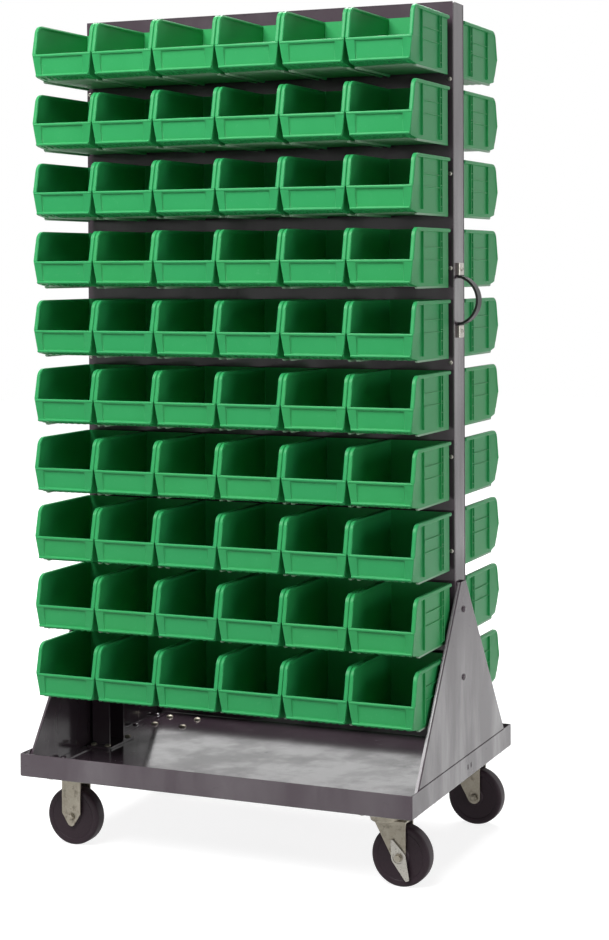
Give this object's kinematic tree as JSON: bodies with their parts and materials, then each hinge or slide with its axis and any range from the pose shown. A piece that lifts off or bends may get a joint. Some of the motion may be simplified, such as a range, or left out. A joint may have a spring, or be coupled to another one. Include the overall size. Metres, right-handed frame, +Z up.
{
  "type": "louvered bin rack",
  "caption": "Mobile double-sided louvered steel rack on casters, hung with rows of open-front plastic bins that lift off the panel's tongues.",
  "frame": {"origin": "on the floor under the middle of the base tray, between the two uprights", "axes": "+X along the rack towards the swivel casters and the handle, +Y towards the rear panel, +Z up"},
  "size_m": [0.9536, 0.635, 1.8288],
  "materials": {
    "frame_paint": "semi-gloss charcoal paint on sheet steel",
    "zinc_steel": "yellowish zinc plate on pressed steel",
    "plated_steel": "bright zinc plate",
    "bin_plastic": "satin moulded polypropylene, green",
    "wheel_rubber": "hard dark brown-black rubber",
    "handle_grip": "black vinyl strap"
  },
  "bodies": {
    "frame": {"base_tray": "frame_paint", "tray_lips": "frame_paint", "left_end_gusset": "frame_paint", "right_end_gusset": "frame_paint", "left_upright": "frame_paint", "right_upright": "frame_paint", "front_louver_panel": "frame_paint", "rear_louver_panel": "frame_paint", "top_cap": "frame_paint", "panel_screws": "plated_steel", "foot_bolts": "plated_steel", "gusset_bolts": "frame_paint", "caster_bolts": "plated_steel", "handle_strap": "handle_grip", "handle_end_caps": "plated_steel", "handle_screws": "plated_steel", "rigid_fork_front": "zinc_steel", "rigid_bush_front": "plated_steel", "rigid_axle_front": "plated_steel", "rigid_fork_rear": "zinc_steel", "rigid_bush_rear": "plated_steel", "rigid_axle_rear": "plated_steel", "swivel_plate_front": "zinc_steel", "swivel_kingpin_front": "plated_steel", "swivel_plate_rear": "zinc_steel", "swivel_kingpin_rear": "plated_steel"},
    "rigid_wheel_front": {"rigid_wheel_front": "wheel_rubber"},
    "swivel_front": {"swivel_balls_front": "plated_steel", "swivel_fork_front": "zinc_steel", "swivel_bush_front": "plated_steel", "swivel_axle_front": "plated_steel"},
    "swivel_wheel_front": {"swivel_wheel_front": "wheel_rubber"},
    "brake_front": {"brake_lever_front": "zinc_steel"},
    "rigid_wheel_rear": {"rigid_wheel_rear": "wheel_rubber"},
    "swivel_rear": {"swivel_balls_rear": "plated_steel", "swivel_fork_rear": "zinc_steel", "swivel_bush_rear": "plated_steel", "swivel_axle_rear": "plated_steel"},
    "swivel_wheel_rear": {"swivel_wheel_rear": "wheel_rubber"},
    "brake_rear": {"brake_lever_rear": "zinc_steel"},
    "front_bins_row_01": {"front_bins_row_01": "bin_plastic"},
    "front_bins_row_02": {"front_bins_row_02": "bin_plastic"},
    "front_bins_row_03": {"front_bins_row_03": "bin_plastic"},
    "front_bins_row_04": {"front_bins_row_04": "bin_plastic"},
    "front_bins_row_05": {"front_bins_row_05": "bin_plastic"},
    "front_bins_row_06": {"front_bins_row_06": "bin_plastic"},
    "front_bins_row_07": {"front_bins_row_07": "bin_plastic"},
    "front_bins_row_08": {"front_bins_row_08": "bin_plastic"},
    "front_bins_row_09": {"front_bins_row_09": "bin_plastic"},
    "front_bins_row_10": {"front_bins_row_10": "bin_plastic"},
    "rear_bins_row_01": {"rear_bins_row_01": "bin_plastic"},
    "rear_bins_row_02": {"rear_bins_row_02": "bin_plastic"},
    "rear_bins_row_03": {"rear_bins_row_03": "bin_plastic"},
    "rear_bins_row_04": {"rear_bins_row_04": "bin_plastic"},
    "rear_bins_row_05": {"rear_bins_row_05": "bin_plastic"},
    "rear_bins_row_06": {"rear_bins_row_06": "bin_plastic"},
    "rear_bins_row_07": {"rear_bins_row_07": "bin_plastic"},
    "rear_bins_row_08": {"rear_bins_row_08": "bin_plastic"},
    "rear_bins_row_09": {"rear_bins_row_09": "bin_plastic"},
    "rear_bins_row_10": {"rear_bins_row_10": "bin_plastic"}
  },
  "joints": [
    {"name": "rigid_wheel_front_spin", "type": "hinge", "parent": "frame", "child": "rigid_wheel_front", "pos_m": [-0.3682, -0.231, 0.0635], "axis": [0, 1, 0], "continuous": true},
    {"name": "swivel_front_turn", "type": "hinge", "parent": "frame", "child": "swivel_front", "pos_m": [0.3682, -0.231, 0.0635], "axis": [0, 0, 1], "continuous": true},
    {"name": "swivel_wheel_front_spin", "type": "hinge", "parent": "swivel_front", "child": "swivel_wheel_front", "pos_m": [0.4032, -0.231, 0.0635], "axis": [0, 1, 0], "continuous": true},
    {"name": "brake_front_press", "type": "hinge", "parent": "swivel_front", "child": "brake_front", "pos_m": [0.4032, -0.231, 0.0635], "axis": [0, -1, 0], "range_deg": [0, 60]},
    {"name": "rigid_wheel_rear_spin", "type": "hinge", "parent": "frame", "child": "rigid_wheel_rear", "pos_m": [-0.3682, 0.231, 0.0635], "axis": [0, 1, 0], "continuous": true},
    {"name": "swivel_rear_turn", "type": "hinge", "parent": "frame", "child": "swivel_rear", "pos_m": [0.3682, 0.231, 0.0635], "axis": [0, 0, 1], "continuous": true},
    {"name": "swivel_wheel_rear_spin", "type": "hinge", "parent": "swivel_rear", "child": "swivel_wheel_rear", "pos_m": [0.4032, 0.231, 0.0635], "axis": [0, 1, 0], "continuous": true},
    {"name": "brake_rear_press", "type": "hinge", "parent": "swivel_rear", "child": "brake_rear", "pos_m": [0.4032, 0.231, 0.0635], "axis": [0, -1, 0], "range_deg": [0, 60]},
    {"name": "front_row_01_lift", "type": "slide", "parent": "frame", "child": "front_bins_row_01", "axis": [0, -0.5736, 0.8192], "range_m": [0, 0.02]},
    {"name": "front_row_02_lift", "type": "slide", "parent": "frame", "child": "front_bins_row_02", "axis": [0, -0.5736, 0.8192], "range_m": [0, 0.02]},
    {"name": "front_row_03_lift", "type": "slide", "parent": "frame", "child": "front_bins_row_03", "axis": [0, -0.5736, 0.8192], "range_m": [0, 0.02]},
    {"name": "front_row_04_lift", "type": "slide", "parent": "frame", "child": "front_bins_row_04", "axis": [0, -0.5736, 0.8192], "range_m": [0, 0.02]},
    {"name": "front_row_05_lift", "type": "slide", "parent": "frame", "child": "front_bins_row_05", "axis": [0, -0.5736, 0.8192], "range_m": [0, 0.02]},
    {"name": "front_row_06_lift", "type": "slide", "parent": "frame", "child": "front_bins_row_06", "axis": [0, -0.5736, 0.8192], "range_m": [0, 0.02]},
    {"name": "front_row_07_lift", "type": "slide", "parent": "frame", "child": "front_bins_row_07", "axis": [0, -0.5736, 0.8192], "range_m": [0, 0.02]},
    {"name": "front_row_08_lift", "type": "slide", "parent": "frame", "child": "front_bins_row_08", "axis": [0, -0.5736, 0.8192], "range_m": [0, 0.02]},
    {"name": "front_row_09_lift", "type": "slide", "parent": "frame", "child": "front_bins_row_09", "axis": [0, -0.5736, 0.8192], "range_m": [0, 0.02]},
    {"name": "front_row_10_lift", "type": "slide", "parent": "frame", "child": "front_bins_row_10", "axis": [0, -0.5736, 0.8192], "range_m": [0, 0.02]},
    {"name": "rear_row_01_lift", "type": "slide", "parent": "frame", "child": "rear_bins_row_01", "axis": [0, 0.5736, 0.8192], "range_m": [0, 0.02]},
    {"name": "rear_row_02_lift", "type": "slide", "parent": "frame", "child": "rear_bins_row_02", "axis": [0, 0.5736, 0.8192], "range_m": [0, 0.02]},
    {"name": "rear_row_03_lift", "type": "slide", "parent": "frame", "child": "rear_bins_row_03", "axis": [0, 0.5736, 0.8192], "range_m": [0, 0.02]},
    {"name": "rear_row_04_lift", "type": "slide", "parent": "frame", "child": "rear_bins_row_04", "axis": [0, 0.5736, 0.8192], "range_m": [0, 0.02]},
    {"name": "rear_row_05_lift", "type": "slide", "parent": "frame", "child": "rear_bins_row_05", "axis": [0, 0.5736, 0.8192], "range_m": [0, 0.02]},
    {"name": "rear_row_06_lift", "type": "slide", "parent": "frame", "child": "rear_bins_row_06", "axis": [0, 0.5736, 0.8192], "range_m": [0, 0.02]},
    {"name": "rear_row_07_lift", "type": "slide", "parent": "frame", "child": "rear_bins_row_07", "axis": [0, 0.5736, 0.8192], "range_m": [0, 0.02]},
    {"name": "rear_row_08_lift", "type": "slide", "parent": "frame", "child": "rear_bins_row_08", "axis": [0, 0.5736, 0.8192], "range_m": [0, 0.02]},
    {"name": "rear_row_09_lift", "type": "slide", "parent": "frame", "child": "rear_bins_row_09", "axis": [0, 0.5736, 0.8192], "range_m": [0, 0.02]},
    {"name": "rear_row_10_lift", "type": "slide", "parent": "frame", "child": "rear_bins_row_10", "axis": [0, 0.5736, 0.8192], "range_m": [0, 0.02]}
  ]
}
